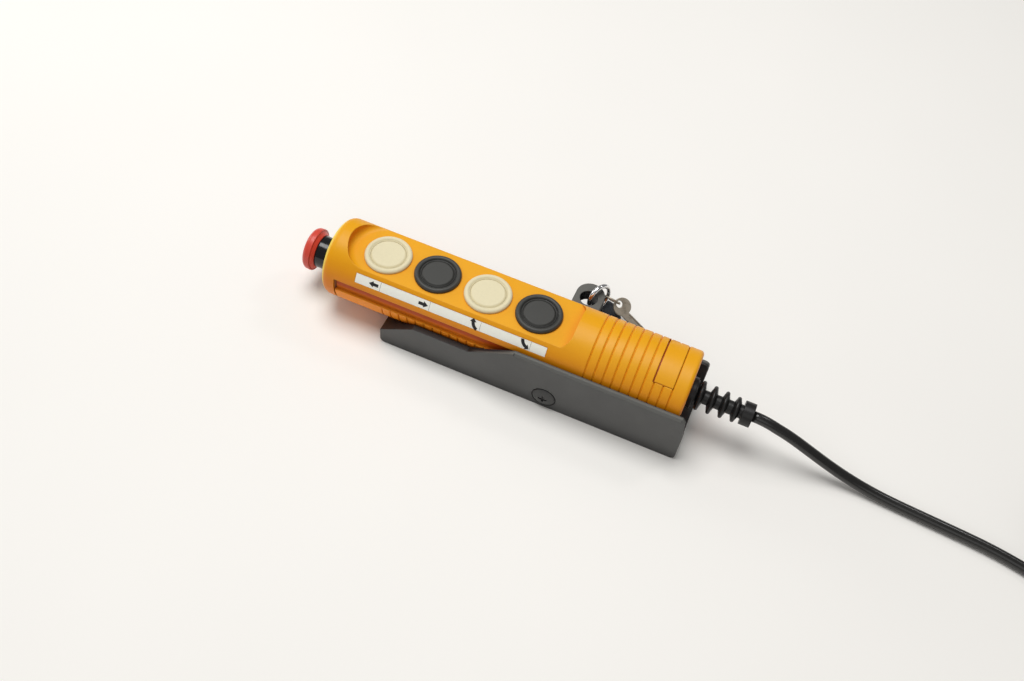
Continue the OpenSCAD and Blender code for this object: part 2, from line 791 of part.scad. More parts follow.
module fin_profile(r) {
    polygon([
        [0, -fin_root_w / 2],
        [relief_core_d / 2, -fin_root_w / 2],
        [r - fin_rim_w / 2, -fin_rim_w / 2],
        [r - fin_rim_w / 2, fin_rim_w / 2],
        [relief_core_d / 2, fin_root_w / 2],
        [0, fin_root_w / 2]
    ]);
    translate([r - fin_rim_w / 2, 0]) circle(r = fin_rim_w / 2);
}

// Cable's jacket inside the body: from the clamp to inside the sleeve's end
module inner_cable() {
    color("black") along_x(clamp_x - 7, relief_end - 5.2, cable_d / 2);
}

clamp_x = end_wall_x - 11;
clamp_screw_y = 7.6;
clamp_screw_r = 1.4;

// Bar that presses the cable's jacket onto a saddle
module cable_clamp() {
    half_w = 10.6;
    color("gray") difference() {
        span([clamp_x - 3, -half_w, -board_drop - board_t], [clamp_x + 3, half_w, 5]);
        along_x(clamp_x - 4, clamp_x + 4, cable_d / 2 + 0.05);
        span([clamp_x - 4, -half_w - 1, -0.6], [clamp_x + 4, half_w + 1, 0.6]);
        for (side = [-1, 1])
            translate([clamp_x, side * clamp_screw_y, -board_drop - board_t - 1]) cylinder(h = 20, r = clamp_screw_r + 0.1);
    }
}

module clamp_screws() {
    color("silver") for (side = [-1, 1]) translate([clamp_x, side * clamp_screw_y, 5]) {
        cylinder(h = 1.6, r = 2.7);
        translate([0, 0, -20]) cylinder(h = 20.1, r = clamp_screw_r);
    }
}

// Holder

cradle_r = body_r + cradle_gap;
holder_half_w = cradle_r + side_t;
holder_end = holder_start + holder_len;

function arc(cx, cz, r, a0, a1) = [for (i = [0:6]) [cx + r * cos(a0 + (a1 - a0) * i / 6), cz + r * sin(a0 + (a1 - a0) * i / 6)]];

function holder_foot() = concat(
    arc(holder_start + holder_corner, floor_z + holder_corner, holder_corner, 180, 270),
    arc(holder_end - holder_corner, floor_z + holder_corner, holder_corner, 270, 360)
);

near_top = [
    [holder_end, floor_z + far_h],
    [holder_end - end_lean, floor_z + high_h - 2],
    [holder_end - 2 * end_lean, floor_z + high_h],
    [holder_start + step_start + step_run, floor_z + high_h],
    [holder_start + step_start, floor_z + low_h],
    [holder_start + tip_run, floor_z + low_h],
    [holder_start, floor_z + tip_h]
];

function far_top() = concat(
    arc(holder_end - holder_corner, floor_z + ear_h - holder_corner, holder_corner, 0, 90),
    [[holder_end - ear_run, floor_z + ear_h], [holder_end - ear_run - 6, floor_z + far_h],
     [holder_start + tip_run, floor_z + far_h], [holder_start, floor_z + tip_h]]
);

// A side profile, drawn as [x, z], pulled from y0 to y1
module side_plate(points, y0, y1) {
    translate([0, y1, 0]) rotate([90, 0, 0]) linear_extrude(y1 - y0) polygon(points);
}

// Bevel along one straight stretch of the near wall's outer top edge
module edge_bevel(a, b) {
    run = norm(b - a);
    tilt = atan2(b[1] - a[1], b[0] - a[0]);
    translate([a[0], -holder_half_w, a[1]]) rotate([0, -tilt, 0])
        rotate([45, 0, 0]) translate([0, -holder_bevel, -holder_bevel / sqrt(2)])
            cube([run, 2 * holder_bevel, holder_bevel * sqrt(2)]);
}

lug_top = floor_z + far_h;
lug_hole_y = lug_reach - lug_hole_back;
back_hole_inset = 24;
back_hole_xs = [holder_start + back_hole_inset, holder_end - back_hole_inset];
back_hole_y = 19;

module holder() {
    color("dimgray") difference() {
        union() {
            side_plate(concat(holder_foot(), near_top), -holder_half_w, 0);
            side_plate(concat(holder_foot(), far_top()), -eps, holder_half_w);
            span([lug_x - lug_w / 2, cradle_r, lug_top - lug_t], [lug_x + lug_w / 2, lug_reach, lug_top]);
            translate([lug_x, lug_reach, lug_top - lug_t]) cylinder(h = lug_t, r = lug_w / 2);
        }
        along_x(holder_start - 1, holder_end + 1, cradle_r);
        span([holder_start - 1, -cradle_r, 0], [holder_end + 1, cradle_r, far]);
        translate([lug_x, lug_hole_y, lug_top - lug_t - 1]) cylinder(h = lug_t + 2, r = lug_hole_d / 2);
        edge_bevel(near_top[3], near_top[2]);
        for (x = back_hole_xs, side = [-1, 1])
            translate([x, side * back_hole_y, floor_z - 1]) cylinder(h = 9, r = 2.1);
        translate([lug_x, 0, floor_z + knob_z]) rotate([90, 0, 0]) {
            cylinder(h = holder_half_w + 1, r = knob_shank_d / 2 + 0.1);
            translate([0, 0, holder_half_w - 0.8]) cylinder(h = 2, r = knob_d / 2 + 0.7);
        }
    }
}

// Round-headed screw in the near wall, with a cross recess
module holder_screw() {
    head_base = holder_half_w - 0.8;
    shank_tip = cradle_side(knob_z + knob_shank_d / 2) + 0.4;
    color("black") translate([lug_x, 0, floor_z + knob_z]) rotate([90, 0, 0]) difference() {
        union() {
            translate([0, 0, shank_tip]) cylinder(h = head_base - shank_tip + 0.5, r = knob_shank_d / 2);
            translate([0, 0, head_base]) rotate_extrude() intersection() {
                translate([0, knob_h - knob_dome]) circle(r = knob_dome, $fn = 120);
                square([knob_d / 2, knob_h]);
            }
        }
        for (a = [0, 90]) rotate([0, 0, a])
            translate([-0.6, -2.6, head_base + knob_h - 1.2]) cube([1.2, 5.2, 3]);
    }
}

knob_dome = 14;
// Distance from the middle to the cradle's surface, at a height over the floor
function cradle_side(h) = sqrt(cradle_r * cradle_r - (axis_h - h) * (axis_h - h));

// Keys and their rings

// The ring, the link and both keys hang from the lug, so they are placed from it
ring_at = [lug_x + 4.9, lug_reach + 2.9, lug_top - 3.2];
ring_yaw = 62;
ring_tilt = 10;

module hoop(at, yaw, tilt, r, wire) {
    translate(at) rotate([0, 0, yaw]) rotate([90 - tilt, 0, 0]) rotate_extrude()
        translate([r, 0]) circle(r = wire / 2, $fn = 32);
}

module key_ring() {
    color("silver") hoop(ring_at, ring_yaw, ring_tilt, ring_r, ring_wire / 2 * 2);
}

link_at = [lug_x + 11.8, lug_reach + 8, lug_top - 6.9];
link_yaw = -7;
link_tilt = -35;

module key_link() {
    color("silver") hoop(link_at, link_yaw, link_tilt, link_r, link_wire);
}

key_at = [lug_x + 19.2, lug_reach + 6.5, lug_top - 7.9];
key_yaw = -9;
key_drop = 28;
key_roll = 24;
key_blade_w = 4.4;
key_low = -4.1;

// Flat metal key: round bow, shoulder and toothed blade
module metal_key() {
    hole_back = key_bow_d / 2 - key_hole_d / 2 - 1;
    color("silver") translate(key_at) rotate([0, key_drop, key_yaw]) rotate([key_roll, 0, 0]) translate([0, 0, -key_t / 2])
        difference() {
            linear_extrude(key_t) difference() {
                union() {
                    circle(d = key_bow_d);
                    translate([0, key_low]) square([key_len - 2, key_blade_w]);
                    polygon([[key_len - 2, key_low], [key_len, key_low + 1.6], [key_len, key_low + 2.8],
                        [key_len - 2, key_low + key_blade_w]]);
                }
                translate([-hole_back, 0]) circle(d = key_hole_d);
                for (i = [0:5])
                    translate([key_bow_d / 2 + 3 + i * 2.9, key_low - 0.7]) rotate(45) square(1.6, center = true);
            }
            translate([key_bow_d / 2 + 1, key_low + 3, key_t - 0.5]) cube([key_len, 0.8, 1]);
            translate([key_bow_d / 2 + 1, key_low + 1.2, -0.5]) cube([key_len, 0.8, 1]);
        }
}

fob_at = [lug_x + 9.4, lug_reach + 1.8, lug_top - 18.6];
fob_yaw = -19;
fob_drop = 7;
fob_eye_r = 2.8;
fob_eye_drop = 0.6;
// The middle of the ring's wire at its lowest point
ring_low = ring_at + ring_r * [
    sin(ring_tilt) * sin(ring_yaw), -sin(ring_tilt) * cos(ring_yaw), -cos(ring_tilt)
];
fob_eye_wire = 1.1;

module at_fob() {
    translate(fob_at) rotate([0, fob_drop, fob_yaw]) children();
}

// Black plastic bow of the second key, hanging from the ring by its moulded eye
module key_bow() {
    color("black") {
        difference() {
            at_fob() union() {
                cylinder(h = fob_t - 0.8, d = fob_d);
                translate([0, 0, fob_t - 0.8]) cylinder(h = 0.8, d1 = fob_d, d2 = fob_d - 1.6);
            }
            at_fob() span([fob_d / 2 - 5, -blade_w / 2, (fob_t - key_t) / 2], [fob_d, blade_w / 2, (fob_t + key_t) / 2]);
        }
        difference() {
            hoop(ring_low - [0, 0, fob_eye_drop], ring_yaw + 90, 0, fob_eye_r, fob_eye_wire);
            at_fob() translate([0, 0, -far]) cylinder(h = far + 0.5, r = fob_d);
        }
    }
}

blade_w = 5.6;
blade_len = 24;

module key_blade() {
    color("silver") at_fob() translate([fob_d / 2 - 5, 0, (fob_t - key_t) / 2]) difference() {
        linear_extrude(key_t) difference() {
            union() {
                translate([0, -blade_w / 2]) square([blade_len - 2, blade_w]);
                polygon([[blade_len - 2, -blade_w / 2], [blade_len, -1], [blade_len, 1], [blade_len - 2, blade_w / 2]]);
            }
            for (i = [0:4])
                translate([9 + i * 2.6, blade_w / 2 + 0.4]) rotate(45) square(1.6, center = true);
        }
        translate([7, -0.5, key_t - 0.5]) cube([blade_len, 1, 1]);
    }
}

// Cable

// Route of the cable from the strain relief to the coil
cable_route = [
    [relief_end, 0, 0], [261, 0, 0], [268, 0, -1.2], [276, 0, -4], [285, 0, -8], [295, 0, -13],
    [306, 0, -18], [317, 0, -22], [330, -1, -24.6], [344, -2, -25.3], [358, -3, -25.3], [372, -4, -25.3],
    [386, -5, -25.3], [400, -6.2, -25.3], [412, -8.2, -25.3], [424, -11, -25.3], [435, -13.9, -25.3],
    [446, -16.5, -25.3], [456, -18.3, -25.3], [466, -19, -25.3]
];

// Route of the cable from the coil to the connector
tail_route = [
    [466, -19, -12.5], [478, -19.4, -12.9], [490, -20.4, -13.9], [501, -22, -15.3],
    [511, -24.3, -16.6], [519, -26.4, -17.3], [524, -27.8, -17.6]
];

coil_at = [466, 22.4, floor_z];
coil_half_w = coil_wide * cable_d / 2;
coil_h = coil_high * cable_d;
plug_at = tail_route[6];
plug_yaw = -15.5;
plug_r = plug_d / 2;

module cable() {
    color("black") sweep(cable_route, cable_d / 2, 10);
}

module cable_tail() {
    color("black") sweep(tail_route, cable_d / 2, 10);
}

// One closed ring with the outer shape of the coiled turns
module cable_coil() {
    turn_r = cable_d / 2;
    low = coil_r - coil_half_w;
    color("black") translate(coil_at) rotate_extrude() {
        translate([low, turn_r]) square([2 * coil_half_w, coil_h - 2 * turn_r]);
        translate([low + turn_r, 0]) square([2 * coil_half_w - 2 * turn_r, coil_h]);
        for (r = [low + turn_r, low + 2 * coil_half_w - turn_r], z = [turn_r, coil_h - turn_r])
            translate([r, z]) circle(r = turn_r);
    }
}

// Strap over the coil, at the side away from the cable's ends
module coil_tie() {
    low = coil_r - coil_half_w;
    color("dimgray") translate(coil_at) rotate([0, 0, 85]) rotate_extrude(angle = 10) difference() {
        translate([low - 1.4, 0]) square([2 * coil_half_w + 2.8, coil_h + 1.4]);
        translate([low - 0.2, -1]) square([2 * coil_half_w + 0.4, coil_h + 1.2]);
    }
}

module at_plug() {
    translate(plug_at) rotate([0, 0, plug_yaw]) children();
}

module plug_body() {
    color("black") at_plug() turned_x() difference() {
        union() {
            square([cable_d / 2 + 2, plug_len / 4]);
            translate([0, plug_len / 4]) square([plug_r, plug_len * 3 / 4]);
        }
        translate([0, plug_len / 2]) square([plug_r - 2, plug_len]);
    }
}

module plug_nut() {
    nut_w = plug_len / 3;
    color("silver") at_plug() difference() {
        along_x(plug_len - nut_w, plug_len - 0.5, plug_r + 1.8);
        along_x(plug_len - nut_w - 1, plug_len, plug_r + 0.1);
        for (a = [0:20:340])
            rotate([a, 0, 0]) span([plug_len - nut_w + 2, -0.4, plug_r + 1.3], [plug_len - 2.5, 0.4, far]);
    }
}

module plug_insert() {
    color("ivory") at_plug() difference() {
        along_x(plug_len / 2 + 0.1, plug_len - 1, plug_r - 2.1);
        for (a = [0:60:300]) rotate([a, 0, 0]) along_x(plug_len - 6, plug_len, 0.8, 4);
    }
}

in_frame() upper_housing();
in_frame() lower_housing();
in_frame() housing_seal();
in_frame() hatch_cover();
in_frame() label_strip();
in_frame() housing_screws();
in_frame() button_rim(0);  // button_rim_1
in_frame() button_rim(1);  // button_rim_2
in_frame() button_rim(2);  // button_rim_3
in_frame() button_rim(3);  // button_rim_4
in_frame() button_cap(0);  // button_cap_1
in_frame() button_cap(1);  // button_cap_2
in_frame() button_cap(2);  // button_cap_3
in_frame() button_cap(3);  // button_cap_4
in_frame() rim_nuts();
in_frame() button_spring(0);  // button_spring_1
in_frame() button_spring(1);  // button_spring_2
in_frame() button_spring(2);  // button_spring_3
in_frame() button_spring(3);  // button_spring_4
in_frame() contact_block(0);  // contact_block_1
in_frame() contact_block(1);  // contact_block_2
in_frame() contact_block(2);  // contact_block_3
in_frame() contact_block(3);  // contact_block_4
in_frame() circuit_board();
in_frame() board_screws();
in_frame() stop_head();
in_frame() stop_sleeve();
in_frame() stop_collar();
in_frame() stop_spring();
in_frame() stop_nut();
in_frame() stop_block();
in_frame() cable_gland();
in_frame() strain_relief();
in_frame() inner_cable();
in_frame() cable_clamp();
in_frame() clamp_screws();
in_frame() holder();
in_frame() holder_screw();
in_frame() key_ring();
in_frame() key_link();
in_frame() metal_key();
in_frame() key_bow();
in_frame() key_blade();
in_frame() cable();
in_frame() cable_tail();
in_frame() cable_coil();
in_frame() coil_tie();
in_frame() plug_body();
in_frame() plug_nut();
in_frame() plug_insert();
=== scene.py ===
import math

import bmesh
import bpy
import numpy as np
from mathutils import Matrix, Vector


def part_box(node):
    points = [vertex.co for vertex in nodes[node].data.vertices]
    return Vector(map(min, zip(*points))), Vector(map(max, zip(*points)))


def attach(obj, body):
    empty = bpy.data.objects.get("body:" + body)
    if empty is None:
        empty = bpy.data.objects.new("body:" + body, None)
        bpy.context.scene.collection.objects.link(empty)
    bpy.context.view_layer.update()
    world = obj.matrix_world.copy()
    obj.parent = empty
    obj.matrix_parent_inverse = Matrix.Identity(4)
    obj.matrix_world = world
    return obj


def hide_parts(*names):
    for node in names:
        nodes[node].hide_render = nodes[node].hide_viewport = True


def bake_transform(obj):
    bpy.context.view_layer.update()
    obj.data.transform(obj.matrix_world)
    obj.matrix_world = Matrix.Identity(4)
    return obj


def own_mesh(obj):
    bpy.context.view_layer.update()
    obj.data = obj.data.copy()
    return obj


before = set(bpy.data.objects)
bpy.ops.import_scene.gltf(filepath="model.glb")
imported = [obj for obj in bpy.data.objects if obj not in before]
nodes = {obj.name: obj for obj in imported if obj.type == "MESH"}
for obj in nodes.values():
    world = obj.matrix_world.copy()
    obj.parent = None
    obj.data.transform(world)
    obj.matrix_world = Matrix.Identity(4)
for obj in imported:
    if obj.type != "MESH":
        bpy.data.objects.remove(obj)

scene = bpy.context.scene
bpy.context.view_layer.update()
MM = 0.001

# All in mm; the frame's X runs from the nose to the cable, Z up from the holder's back.
AXIS_H = 28.5      # height of the barrel's axis
LUG_X = 144.0      # the frame's origin, counted from the nose
BODY_R = 23.5      # the barrel
HATCH_X = 54.6     # the joint at the hatch's nose side
CABLE_R = 3.2
WIRE_D = 0.8       # wire of the return springs


# ---------------------------------------------------------------- camera
CAMERA_ANGLES = (15.94, 53.53, 8.68)           # azimuth, elevation and roll, degrees
CAMERA_AT = (68.79, -349.39, 502.72)           # mm
CAMERA_LENS = 36.83


def make_camera():
    """The camera fitted to the photo."""
    az, el, roll = (math.radians(a) for a in CAMERA_ANGLES)
    right = Vector((math.cos(az), math.sin(az), 0))
    back = Vector((math.sin(az) * math.cos(el), -math.cos(az) * math.cos(el), math.sin(el)))
    up = back.cross(right)
    x = right * math.cos(roll) + up * math.sin(roll)
    y = up * math.cos(roll) - right * math.sin(roll)
    data = bpy.data.cameras.new("camera")
    data.sensor_fit = "HORIZONTAL"
    data.sensor_width = 36
    data.lens = CAMERA_LENS
    data.clip_start = 0.01
    ob = bpy.data.objects.new("camera", data)
    m = Matrix((x, y, back)).transposed().to_4x4()
    m.translation = Vector(CAMERA_AT) * MM
    ob.matrix_world = m
    scene.collection.objects.link(ob)
    scene.camera = ob


make_camera()


# ---------------------------------------------------------------- node materials
class Mat:
    """A Principled material whose colour, roughness and bump come from object-space noise."""

    def __init__(self, name, **sockets):
        self.mat = bpy.data.materials.new(name)
        self.mat.use_nodes = True
        self.tree = self.mat.node_tree
        self.tree.nodes.clear()
        self.out = self.add("ShaderNodeOutputMaterial")
        self.bsdf = self.add("ShaderNodeBsdfPrincipled")
        self.link(self.bsdf.outputs[0], self.out.inputs["Surface"])
        self.coord = self.add("ShaderNodeTexCoord").outputs["Object"]
        for key, value in sockets.items():
            self.bsdf.inputs[key.replace("_", " ")].default_value = value

    def add(self, kind, **props):
        n = self.tree.nodes.new(kind)
        for k, v in props.items():
            setattr(n, k, v)
        return n

    def link(self, a, b):
        self.tree.links.new(a, b)

    def noise(self, scale, detail, rough=0.55, stretch=None):
        n = self.add("ShaderNodeTexNoise")
        n.inputs["Scale"].default_value = scale
        n.inputs["Detail"].default_value = detail
        n.inputs["Roughness"].default_value = rough
        src = self.coord
        if stretch:
            m = self.add("ShaderNodeMapping")
            m.inputs["Scale"].default_value = stretch
            self.link(src, m.inputs["Vector"])
            src = m.outputs[0]
        self.link(src, n.inputs["Vector"])
        return n.outputs["Fac"]

    def cells(self, scale):
        """Distance to the nearest point of a random scatter."""
        n = self.add("ShaderNodeTexVoronoi", feature="F1")
        n.inputs["Scale"].default_value = scale
        self.link(self.coord, n.inputs["Vector"])
        return n.outputs["Distance"]

    def remap(self, src, a, b, lo, hi):
        """src from a to b becomes lo to hi, clamped at both ends."""
        n = self.add("ShaderNodeMapRange")
        for i, v in zip((1, 2, 3, 4), (a, b, lo, hi)):
            n.inputs[i].default_value = v
        self.link(src, n.inputs[0])
        return n.outputs[0]

    def math(self, op, a, b=None):
        n = self.add("ShaderNodeMath", operation=op)
        for i, v in enumerate((a, b)):
            if v is None:
                continue
            if isinstance(v, (int, float)):
                n.inputs[i].default_value = v
            else:
                self.link(v, n.inputs[i])
        return n.outputs[0]

    def mix(self, fac, a, b):
        n = self.add("ShaderNodeMix", data_type="RGBA")
        for socket, v in ((n.inputs[0], fac), (n.inputs[6], a), (n.inputs[7], b)):
            if isinstance(v, (int, float)):
                socket.default_value = v
            elif isinstance(v, (tuple, list)):
                socket.default_value = (*v, 1)
            else:
                self.link(v, socket)
        return n.outputs[2]

    def product(self, first, *others):
        """All of them multiplied."""
        for other in others:
            first = self.math("MULTIPLY", first, other)
        return first

    def xyz(self, vector=None):
        """The three parts of a vector, by default of the place on the object."""
        part = self.add("ShaderNodeSeparateXYZ")
        self.link(self.coord if vector is None else vector, part.inputs[0])
        return [part.outputs[k] for k in "XYZ"]

    def radius(self):
        """Distance from the barrel's axis."""
        _, y, z = self.xyz()
        up = self.math("SUBTRACT", z, AXIS_H * MM)
        square = [self.product(v, v) for v in (y, up)]
        return self.math("SQRT", self.math("ADD", *square))

    def slot_shade_mask(self):
        """Mask of the painted shade in the long slot: 1 at its bottom, less towards its lower edge, 0 beyond it.
        """
        _, _, z = self.xyz()
        fade = self.remap(z, 26.8 * MM, 30.6 * MM, 0.1, 1.0)
        return self.product(self.remap(self.radius(), 23.0 * MM, 21.9 * MM, 0.0, 1.0), fade)

    def nose_highlight_mask(self):
        """Mask of the painted highlight on the rounded outer edge at the nose: 1 there, 0 elsewhere."""
        x, _, _ = self.xyz()
        end = self.remap(x, (3.0 - LUG_X) * MM, (1.6 - LUG_X) * MM, 0.0, 0.9)
        return self.product(end, self.remap(self.radius(), 18.0 * MM, 19.0 * MM, 0.0, 1.0))

    def hatch_gap_shade_mask(self):
        """Mask of the painted shade in the narrow joint at the hatch's end towards the nose: 1 there, 0 elsewhere.
        """
        x, y, z = self.xyz()
        off = self.math("ABSOLUTE", self.math("SUBTRACT", x, HATCH_X * MM))
        line = self.remap(off, 0.55 * MM, 0.25 * MM, 0.0, 1.0)
        wide = self.remap(self.math("ABSOLUTE", y), 16.2 * MM, 15.6 * MM, 0.0, 1.0)
        top = self.remap(z, 42 * MM, 43 * MM, 0.0, 1.0)
        return self.product(line, wide, top)

    def overhung_top_shade_mask(self):
        """Mask of the painted shade on the top of the holder's low near wall, which the barrel overhangs: 1 there,
        0 elsewhere.
        """
        _, y, z = self.xyz()
        low = self.remap(z, 26.2 * MM, 24.0 * MM, 0.0, 1.0)
        near = self.remap(y, -15 * MM, -20 * MM, 0.0, 1.0)
        return self.product(self.remap(self.upward(), 0.35, 0.75, 0.0, 1.0), low, near)

    def upward(self):
        """Height part of the surface normal."""
        return self.xyz(self.add("ShaderNodeTexCoord").outputs["Normal"])[2]

    def edges(self, radius):
        """0 on flat places, rising to 1 along sharp edges. Keeps the rounded normal for bump()."""
        b = self.add("ShaderNodeBevel", samples=4)
        b.inputs["Radius"].default_value = radius
        g = self.add("ShaderNodeNewGeometry")
        d = self.add("ShaderNodeVectorMath", operation="DOT_PRODUCT")
        self.link(b.outputs[0], d.inputs[0])
        self.link(g.outputs["Normal"], d.inputs[1])
        self.soft_normal = b.outputs[0]
        return self.remap(d.outputs["Value"], 0.99, 0.80, 0.0, 1.0)

    def bump(self, height, strength, distance):
        """Fine relief on top of the rounded normal that edges() left."""
        n = self.add("ShaderNodeBump")
        n.inputs["Strength"].default_value = strength
        n.inputs["Distance"].default_value = distance
        self.link(height, n.inputs["Height"])
        self.link(self.soft_normal, n.inputs["Normal"])
        return n.outputs[0]

    def to(self, socket, src):
        self.link(src, self.bsdf.inputs[socket])


def lin(*rgb):
    """Linear colour of an sRGB one written as 0 to 255."""
    parts = [c / 255 for c in rgb]
    return tuple(c / 12.92 if c <= 0.04045 else ((c + 0.055) / 1.055) ** 2.4 for c in parts)


def scaled(c, k):
    return tuple(min(1.0, v * k) for v in c)


def plastic(name, colour, rough=0.45, grain=900, grain_depth=0.00004, wear=0.0006, wear_colour=None,
            blotch=0.06, speck=0.0, crevice_shade=None, reach=0.008, slot_shade=None, side_shade=None, rim=None,
            under_barrel_shade=None, **sockets):
    """Moulded plastic or rubber: slow colour change, fine grain, dust specks and paler worn edges, plus painted
    light.

    The optional tones, in the order of the arguments, are painted light: painted shade in crevices up to reach
    metres wide, painted shade in the long slot of the lower shell, painted shade on upright faces, a painted
    highlight on the nose's edge together with painted shade in the hatch's joint, and painted shade on the holder
    where the barrel covers it.
    """
    m = Mat(name, **sockets)
    slow = m.noise(28, 4)
    fine = m.noise(grain, 2, 0.6)
    tone = m.mix(m.remap(slow, 0.3, 0.7, 0, 1), scaled(colour, 1 - blotch), scaled(colour, 1 + blotch))
    tone = m.mix(m.remap(fine, 0.35, 0.65, 0.0, 0.10), tone, scaled(colour, 0.72))
    if speck:
        dots = m.remap(m.cells(700), 0.10, 0.04, 0.0, speck)
        tone = m.mix(dots, tone, tuple(v + 0.25 for v in colour))
    # Painted shade: upright and downward faces get a darker, redder tone for the light they miss.
    if side_shade:
        tone = m.mix(m.remap(m.upward(), 0.86, 0.15, 0.0, 1.0), tone, side_shade)
    # Painted shade: crevices, found by ambient occlusion, darken towards a set tone.
    if crevice_shade:
        ao = m.add("ShaderNodeAmbientOcclusion", samples=8)
        ao.inputs["Distance"].default_value = reach
        tone = m.mix(m.remap(ao.outputs["AO"], 0.90, 0.35, 0.0, 1.0), tone, crevice_shade)
    # Painted shade in the long slot of the lower shell.
    if slot_shade:
        tone = m.mix(m.slot_shade_mask(), tone, slot_shade)
    # Painted highlight on the nose's rounded edge.
    if rim:
        tone = m.mix(m.nose_highlight_mask(), tone, rim)
        # Painted shade in the hatch's joint.
        tone = m.mix(m.hatch_gap_shade_mask(), tone, GAP_SHADE)
    # Painted shade on the holder where the barrel covers it and on the low wall's top under the barrel.
    if under_barrel_shade:
        tone = m.mix(m.remap(m.radius(), 0.0262, 0.0252, 0.0, 1.0), tone, under_barrel_shade)
        tone = m.mix(m.overhung_top_shade_mask(), tone, under_barrel_shade)
    edge = m.edges(wear)
    worn = m.product(edge, m.remap(m.noise(180, 3), 0.35, 0.65, 0.15, 0.8))
    tone = m.mix(worn, tone, wear_colour or tuple(min(1, v * 1.12 + 0.02) for v in colour))
    m.to("Base Color", tone)
    r = m.remap(m.noise(60, 5, 0.65), 0.3, 0.7, rough - 0.05, rough + 0.07)
    m.to("Roughness", m.math("ADD", r, m.product(worn, 0.08)))
    m.to("Normal", m.bump(fine, 0.35, grain_depth))
    return m.mat


def metal(name, colour, rough, brushed=None, tarnish=None, metallic=1.0):
    """Bright metal with uneven polish; brushed stretches the marks, tarnish is the tone of duller spots."""
    m = Mat(name, Metallic=metallic)
    base = m.noise(60, 4)
    tone = m.mix(m.remap(base, 0.3, 0.7, 0, 1), scaled(colour, 0.9), scaled(colour, 1.06))
    if tarnish:
        tone = m.mix(m.remap(m.noise(220, 5, 0.7), 0.5, 0.72, 0, 0.8), tone, tarnish)
    m.to("Base Color", tone)
    m.to("Roughness", m.remap(m.noise(240, 4, 0.7, stretch=brushed), 0.3, 0.7, rough * 0.7, rough * 1.5))
    m.edges(0.0003)
    m.to("Normal", m.bump(m.noise(900, 3, 0.6, stretch=brushed), 0.12, 0.00003))
    return m.mat


ORANGE = (0.85, 0.385, 0.002)
# Painted shade for the housing's upright faces.
SIDE_SHADE = (0.77, 0.22, 0.002)
WORN_ORANGE = (0.98, 0.50, 0.02)
# Painted shade for the hatch's joint.
GAP_SHADE = (0.50, 0.075, 0.001)
# In these materials the crevice, upright-face, slot and covered-holder tones are painted shade, and the housing's
# rim tone is a painted highlight.
MATS = {
    "housing": plastic("housing_plastic", ORANGE, 0.44, 1100, 0.00005, 0.0007, wear_colour=WORN_ORANGE,
                       blotch=0.03, crevice_shade=(0.76, 0.26, 0.002), side_shade=SIDE_SHADE, rim=(0.96, 0.74, 0.08),
                       Specular_IOR_Level=0.34),
    "lower": plastic("lower_plastic", ORANGE, 0.44, 1100, 0.00005, 0.0007, wear_colour=WORN_ORANGE,
                     blotch=0.03, crevice_shade=(0.62, 0.13, 0.002), slot_shade=(0.50, 0.065, 0.001),
                     side_shade=(0.95, 0.29, 0.006), Specular_IOR_Level=0.34),
    "seal": plastic("seal_rubber", (0.35, 0.12, 0.03), 0.7, 700, 0.00006, crevice_shade=(0.10, 0.02, 0.004)),
    "label": plastic("label_film", lin(255, 254, 243), 0.42, 1500, 0.00001, 0.0002, blotch=0.012),
    "light_button": plastic("cream_rubber", lin(229, 219, 184), 0.55, 800, 0.00004, 0.0005, blotch=0.02,
                            crevice_shade=lin(206, 190, 142), reach=0.002, Specular_IOR_Level=0.3),
    "dark_button": plastic("dark_rubber", lin(56, 56, 53), 0.48, 800, 0.00005, 0.0005,
                           wear_colour=lin(82, 82, 80), speck=0.10, crevice_shade=lin(14, 14, 14), reach=0.003),
    "stop_red": plastic("red_plastic", lin(214, 74, 58), 0.34, 900, 0.00003, 0.0005,
                        wear_colour=lin(232, 120, 96), blotch=0.05, crevice_shade=lin(120, 14, 10)),
    "black_gloss": plastic("black_gloss", lin(20, 20, 22), 0.14, 400, 0.00001, 0.0004),
    "black_rubber": plastic("black_rubber", lin(30, 29, 29), 0.36, 500, 0.00005, 0.0006,
                            wear_colour=lin(60, 58, 57), Specular_IOR_Level=0.34),
    "inner_plastic": plastic("inner_plastic", lin(214, 208, 190), 0.5, 800),
    "board": plastic("board_laminate", lin(60, 120, 66), 0.35, 1400, 0.00003, 0.0003),
    "steel": metal("steel", (0.62, 0.61, 0.59), 0.3, brushed=(1, 1, 8)),
    "holder_plastic": plastic("holder_plastic", lin(95, 95, 91), 0.48, 900, 0.00006, 0.0008,
                              wear_colour=lin(118, 118, 116), blotch=0.05, speck=0.08, crevice_shade=lin(26, 24, 25),
                              reach=0.014, side_shade=lin(79, 79, 78), under_barrel_shade=lin(28, 26, 27)),
    "cable_jacket": plastic("cable_jacket", lin(28, 27, 26), 0.22, 500, 0.00001, 0.0004,
                            wear_colour=lin(60, 58, 57), Specular_IOR_Level=0.6),
    "knob": plastic("knob_plastic", lin(60, 60, 59), 0.45, 900, 0.00006, 0.0006, wear_colour=lin(96, 96, 94),
                    crevice_shade=lin(18, 18, 18), reach=0.004),
    "chrome": metal("chrome", (0.86, 0.86, 0.87), 0.06),
    "nickel": metal("nickel", lin(186, 178, 162), 0.34, brushed=(1, 6, 1), tarnish=lin(128, 116, 98),
                    metallic=0.55),
    "key_plastic": plastic("key_plastic", lin(40, 44, 52), 0.32, 900, 0.00003, 0.0005,
                           wear_colour=lin(84, 90, 100)),
    "ink": plastic("label_ink", lin(22, 22, 24), 0.5, 1500, 0.00001, 0.0001, blotch=0.1),
    "ink_line": plastic("label_line", lin(140, 140, 142), 0.5, 1500, 0.00001, 0.0001, blotch=0.1),
}


def paint(ob, mat):
    ob.data.materials.clear()
    ob.data.materials.append(mat)


